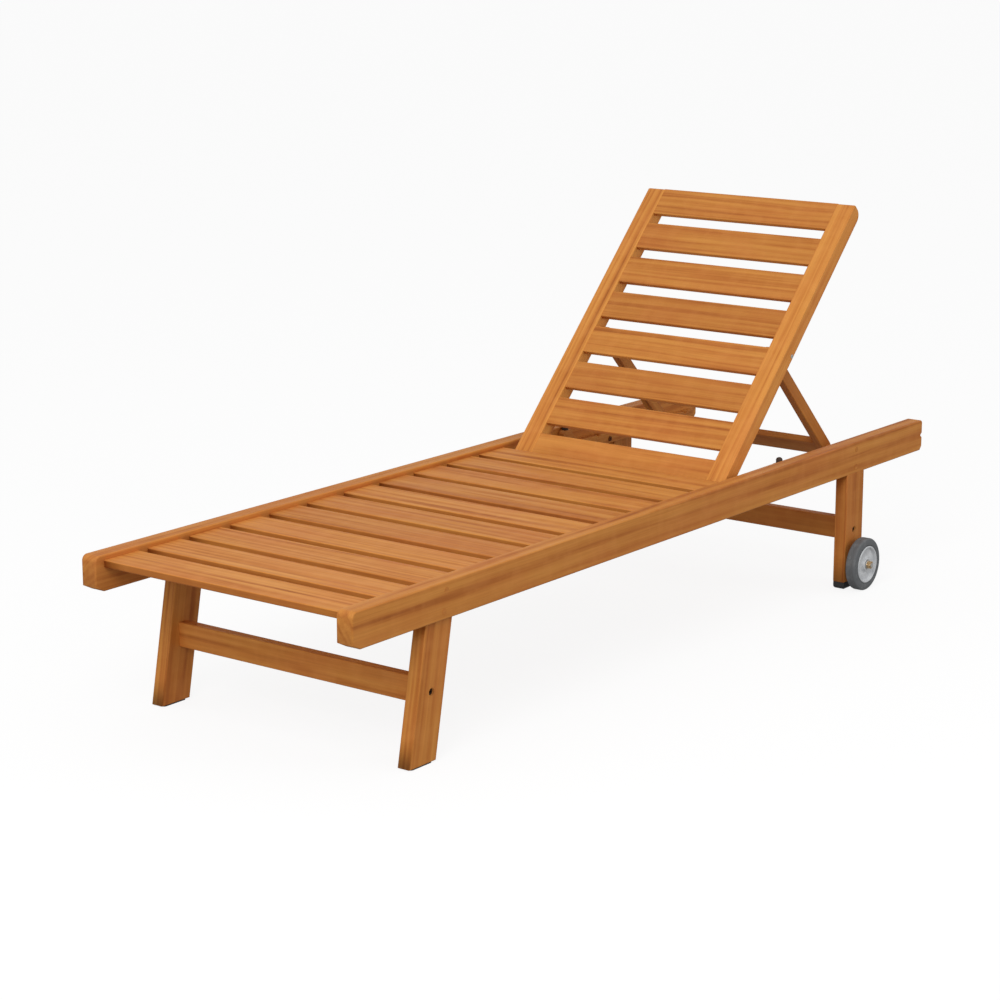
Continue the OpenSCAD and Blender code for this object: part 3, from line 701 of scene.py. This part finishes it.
def hardwood(name, grain=None):
    """Oiled hardwood. Colour follows the growth rings of the log a board was sawn from, so that faces,
    edges and end grain agree. Soft streaks, fine fibres, pores and a few small knots lie over them."""
    g = Graph(name)
    if grain is None:
        at = g.add("Attribute", attribute_name="board").outputs["Vector"]
        tone = g.add("Attribute", attribute_name="tone").outputs["Fac"]
    else:
        at = grain(g)
        tone = PLUG_TONE

    # knots: a few oval spots per board, that push the rings aside
    cells = g.add("TexVoronoi", {"Vector": g.stretched(at, 3.6, 13, 13), "Scale": 1.0, "Randomness": 1.0})
    cell_draw = g.add("SeparateColor", {0: cells.outputs["Color"]}).outputs[0]
    picked = g.math("GREATER_THAN", cell_draw, 0.88)
    near_knot = g.math("MULTIPLY", g.between(cells.outputs["Distance"], 0.22, 0.02), picked)
    knot_core = g.math("MULTIPLY", g.between(cells.outputs["Distance"], 0.055, 0.02), picked)

    # rings: distance from the middle of the log, wandering slowly along the board
    wander = g.noise(g.stretched(at, 1.3, 9, 9), detail=3)
    ripple = g.noise(g.stretched(at, 6, 40, 40), detail=2)
    parts = g.add("SeparateXYZ", {0: at})
    flat = g.add("CombineXYZ", {0: 0.0, 1: parts.outputs[1], 2: parts.outputs[2]}).outputs[0]
    radius = g.add("VectorMath", {0: flat}, operation="LENGTH").outputs["Value"]
    radius = g.math("MULTIPLY_ADD", wander, 0.030, radius)
    radius = g.math("MULTIPLY_ADD", ripple, 0.0016, radius)
    radius = g.math("MULTIPLY_ADD", near_knot, 0.010, radius)
    ring_inputs = {"W": radius, "Scale": 95.0, "Detail": 2.5, "Roughness": 0.55}
    rings = g.add("TexNoise", ring_inputs, noise_dimensions="1D").outputs[0]

    # streaks, fibres, pores, and clouds of tone that run across the grain as well as along it
    streaks = g.noise(g.stretched(at, 2.6, 75, 75), detail=3)
    fibres = g.noise(g.stretched(at, 8, 520, 520), detail=2)
    pores = g.between(g.noise(g.stretched(at, 50, 1400, 1400), detail=1), 0.64, 0.78)
    clouds = g.noise(g.stretched(at, 5.5, 11, 11), detail=2)
    figure = g.noise(g.stretched(at, 34, 26, 26), detail=2)

    band = g.math("MULTIPLY_ADD", streaks, 0.55, g.math("MULTIPLY", rings, 0.55))
    colour = g.ramp(g.between(band, 0.30, 0.82), [(place, rgb(*tint)) for place, tint in RING_COLOURS])
    colour = g.mix(g.between(clouds, 0.38, 0.72, 0.0, 0.45), colour, rgb(202, 118, 56))
    colour = g.mix(g.between(figure, 0.40, 0.70, 0.0, 0.16), colour, rgb(232, 158, 84))
    colour = g.mix(g.between(fibres, 0.35, 0.72, 0.0, 0.16), colour, rgb(160, 92, 40))
    colour = g.mix(g.math("MULTIPLY", pores, 0.22), colour, rgb(120, 66, 28))
    colour = g.mix(g.math("MULTIPLY", near_knot, 0.30), colour, rgb(172, 98, 44))
    colour = g.mix(g.math("MULTIPLY", knot_core, 0.70), colour, rgb(112, 60, 28))
    # The tone mixes between the darkest and lightest board. It holds each board's own tone together with
    # painted light and shade for whole kinds of board and painted shade on the seat slats' edges.
    light_board = g.mix(1.0, colour, LIGHTEST, "MULTIPLY")
    dark_board = g.mix(1.0, colour, DARKEST, "MULTIPLY")
    colour = g.mix(tone, dark_board, light_board)

    height = g.math("MULTIPLY_ADD", fibres, 0.6, g.math("MULTIPLY", rings, 0.3))
    height = g.math("SUBTRACT", height, g.math("MULTIPLY", pores, 0.5))
    g.bump(height, 0.30, 0.2 * MM)
    g.set(Base_Color=colour, Roughness=g.between(streaks, 0.3, 0.7, 0.50, 0.62), Specular_IOR_Level=0.2)
    return g.material


def rubber(name, colour, wear):
    """Matt rubber with a fine grain and paler scuffs."""
    g = Graph(name)
    at = g.add("TexCoord").outputs["Object"]
    grain = g.noise(at, 1400, 2)
    scuffs = g.noise(at, 60, 4, 0.65)
    shade = g.mix(g.between(scuffs, 0.45, 0.75), colour, wear)
    g.set(Base_Color=shade, Roughness=g.between(scuffs, 0.3, 0.7, 0.62, 0.78))
    g.bump(grain, 0.25, 0.15 * MM)
    return g.material


def moulded(name, colour, shaded, roughness=0.45):
    """Moulded plastic with a fine texture and slight unevenness of colour."""
    g = Graph(name)
    at = g.add("TexCoord").outputs["Object"]
    cloud = g.noise(at, 45, 3)
    g.set(Base_Color=g.mix(g.between(cloud, 0.3, 0.7), shaded, colour),
          Roughness=g.between(cloud, 0.3, 0.7, roughness - 0.06, roughness + 0.08))
    g.bump(g.noise(at, 2200, 1), 0.12, 0.1 * MM)
    return g.material


def metal(name, colour, dull, roughness=0.32):
    """Plated or bare metal, with fine turning marks and duller patches."""
    g = Graph(name)
    at = g.add("TexCoord").outputs["Object"]
    patches = g.noise(at, 220, 4, 0.6)
    marks = g.noise(g.stretched(at, 9000, 600, 600), detail=1)
    g.set(Base_Color=g.mix(g.between(patches, 0.42, 0.70), colour, dull), Metallic=1.0,
          Roughness=g.between(patches, 0.35, 0.7, roughness, roughness + 0.2))
    g.bump(marks, 0.10, 0.05 * MM)
    return g.material


# ------------------------------------------------------------------ CAD nodes that stay


WELD_GAP = 0.01 * MM
SHARP = math.radians(40)  # an edge that turns more than this is eased


def finish_node(node, material, ease=0.0):
    """Gives a CAD node its material, and eased edges where ease is above 0."""
    piece = frame["nodes"][node]
    for slot in piece.material_slots:
        slot.material = material
    if ease > 0:
        weld = piece.modifiers.new("weld", "WELD")
        weld.merge_threshold = WELD_GAP
        bevel = piece.modifiers.new("ease", "BEVEL")
        bevel.width = ease
        bevel.segments = 2
        bevel.limit_method = "ANGLE"
        bevel.angle_limit = SHARP
        weigh_normals(piece)


# ------------------------------------------------------------------ the lounger


SEAT_SLATS, BACK_SLATS = 11, 8


def build_boards(wood):
    for side_name, side in SIDES.items():
        side_rail(side_name + "_side_rail", side, wood)
        leg(side_name + "_front_leg", side, FRONT_RAKE, wood)
        leg(side_name + "_rear_leg", side, 0, wood)
        rack(side_name + "_rack", side, wood)
        back_stile(side_name + "_back_stile", side, wood)
        prop_strut(side_name + "_prop_strut", side, wood)
    for i in range(SEAT_SLATS):
        seat_slat(f"seat_slat_{i + 1:02d}", wood)
    for i in range(BACK_SLATS):
        back_slat(f"back_slat_{i + 1}", wood)
    stretcher("front_stretcher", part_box("left_front_leg")[0].x, wood)
    stretcher("rear_stretcher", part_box("left_rear_leg")[0].x, wood)
    prop_crossbar("prop_crossbar", wood)


def across_plugs(g):
    """Grain of the plugs: their fibres run along the rails."""
    at = g.add("TexCoord").outputs["Object"]
    parts = g.add("SeparateXYZ", {0: at})
    return g.add("CombineXYZ", {0: parts.outputs[1], 1: parts.outputs[2], 2: parts.outputs[0]}).outputs[0]


def dress_cad_nodes():
    steel = metal("zinc_plated_steel", rgb(230, 229, 225), rgb(190, 188, 182))
    dark_steel = metal("blackened_steel", rgb(72, 64, 56), rgb(44, 38, 33), 0.42)
    bronzed_steel = metal("bronzed_steel", rgb(128, 78, 42), rgb(98, 58, 32), 0.5)
    brass = metal("tarnished_brass", rgb(216, 184, 138), rgb(170, 138, 98), 0.42)
    black = moulded("black_plastic", rgb(46, 45, 44), rgb(34, 33, 32), 0.5)
    nylon = moulded("nylon", rgb(226, 223, 214), rgb(212, 208, 198), 0.4)
    buffer_rubber = rubber("buffer_rubber", rgb(62, 44, 32), rgb(84, 62, 46))
    plug_wood = hardwood("plug_wood", across_plugs)
    finish_node("rail_plugs", plug_wood)
    for node in ("leg_screws", "barrel_nuts", "strut_bolts", "strut_washers", "strut_nuts",
                 "axle_bolts", "axle_washers"):
        finish_node(node, steel, 0.3 * MM)
    for node in ("stretcher_bolts", "pivot_bolts"):
        finish_node(node, dark_steel, 0.3 * MM)
    finish_node("rack_screws", bronzed_steel, 0.3 * MM)
    for node in ("axle_nuts", "pivot_inserts"):
        finish_node(node, brass, 0.5 * MM)
    for node in ("front_glides", "rear_leg_caps", "pivot_spacers", "pivot_bushes"):
        finish_node(node, black, 0.4 * MM)
    for node in ("left_wheel_bush", "right_wheel_bush"):
        finish_node(node, nylon, 0.3 * MM)
    finish_node("rack_buffers", buffer_rubber)


# ------------------------------------------------------------------ studio

# Brightness as the camera sees it, and as it lights the lounger
SKY_SEEN, SKY_LIGHT = 0.985, 0.64
FLOOR_SEEN, FLOOR_GLOW = 0.87, 0.20
FLOOR_GREY = 0.14
FLOOR_REACH = 40
KEY_POWER = 108
SIDE_POWER = 26


def seen_or_bounced(tree, seen, bounced):
    """A value that differs between what the camera sees and what lights the object."""
    path = tree.nodes.new("ShaderNodeLightPath")
    made = tree.nodes.new("ShaderNodeMix")
    made.inputs["A"].default_value = bounced
    made.inputs["B"].default_value = seen
    tree.links.new(path.outputs["Is Camera Ray"], made.inputs["Factor"])
    return made.outputs["Result"]


def glowing_floor():
    """Pale floor that glows a little, as a light table does, so that its shadows stay soft and faint."""
    g = Graph("floor_white")
    g.set(Base_Color=(FLOOR_GREY, FLOOR_GREY, FLOOR_GREY, 1), Roughness=0.9, Specular_IOR_Level=0.0)
    g.set(Emission_Color=(1, 1, 1, 1), Emission_Strength=seen_or_bounced(g.tree, FLOOR_SEEN, FLOOR_GLOW))
    mesh = bmesh.new()
    bmesh.ops.create_grid(mesh, x_segments=1, y_segments=1, size=FLOOR_REACH)
    floor = to_object(mesh, "studio_floor")
    floor.data.materials.append(g.material)


def area_light(name, at, target, size, power):
    """Round softbox at one point, aimed at another."""
    data = bpy.data.lights.new(name, "AREA")
    data.shape = "DISK"
    data.size = size
    data.energy = power
    lamp = bpy.data.objects.new(name, data)
    lamp.location = at
    lamp.rotation_euler = (Vector(target) - Vector(at)).to_track_quat("-Z", "Y").to_euler()
    bpy.context.scene.collection.objects.link(lamp)


def studio():
    """White surroundings, a softbox over the foot end and a weaker one at the lounger's left."""
    world = bpy.data.worlds.new("studio")
    world.use_nodes = True
    sky = world.node_tree.nodes["Background"]
    sky.inputs["Color"].default_value = (1, 1, 1, 1)
    world.node_tree.links.new(seen_or_bounced(world.node_tree, SKY_SEEN, SKY_LIGHT), sky.inputs["Strength"])
    bpy.context.scene.world = world
    bpy.context.scene.view_settings.view_transform = "Standard"
    area_light("key", (1.5, -3.9, 3.4), (0, 0, 0.3), 3.0, KEY_POWER)
    area_light("side", (4.2, 1.8, 1.9), (0.2, 0.9, 0.4), 2.4, SIDE_POWER)
    glowing_floor()


CAMERA_AT = (3.0593, -4.2030, 1.5309)
CAMERA_YAW, CAMERA_PITCH = math.radians(37.134), math.radians(13.476)
LENS_MM, SENSOR_MM = 93.88, 36


def camera():
    """Camera beyond the lounger's left foot corner, looking along it and slightly down."""
    yaw, pitch = CAMERA_YAW, CAMERA_PITCH
    forward = Vector((-math.sin(yaw) * math.cos(pitch), math.cos(yaw) * math.cos(pitch), -math.sin(pitch)))
    data = bpy.data.cameras.new("camera")
    data.lens = LENS_MM
    data.sensor_width = SENSOR_MM
    made = bpy.data.objects.new("camera", data)
    made.location = CAMERA_AT
    made.rotation_euler = forward.to_track_quat("-Z", "Y").to_euler()
    bpy.context.scene.collection.objects.link(made)
    bpy.context.scene.camera = made


studio()
camera()
build_boards(hardwood("oiled_hardwood"))
dress_cad_nodes()
tyre_rubber = rubber("tyre_rubber", rgb(100, 102, 104), rgb(119, 120, 121))
rim_plastic = moulded("rim_plastic", rgb(214, 216, 218), rgb(198, 200, 203), 0.38)
for wheel_side, sign in SIDES.items():
    wheel(wheel_side, sign, tyre_rubber, rim_plastic)
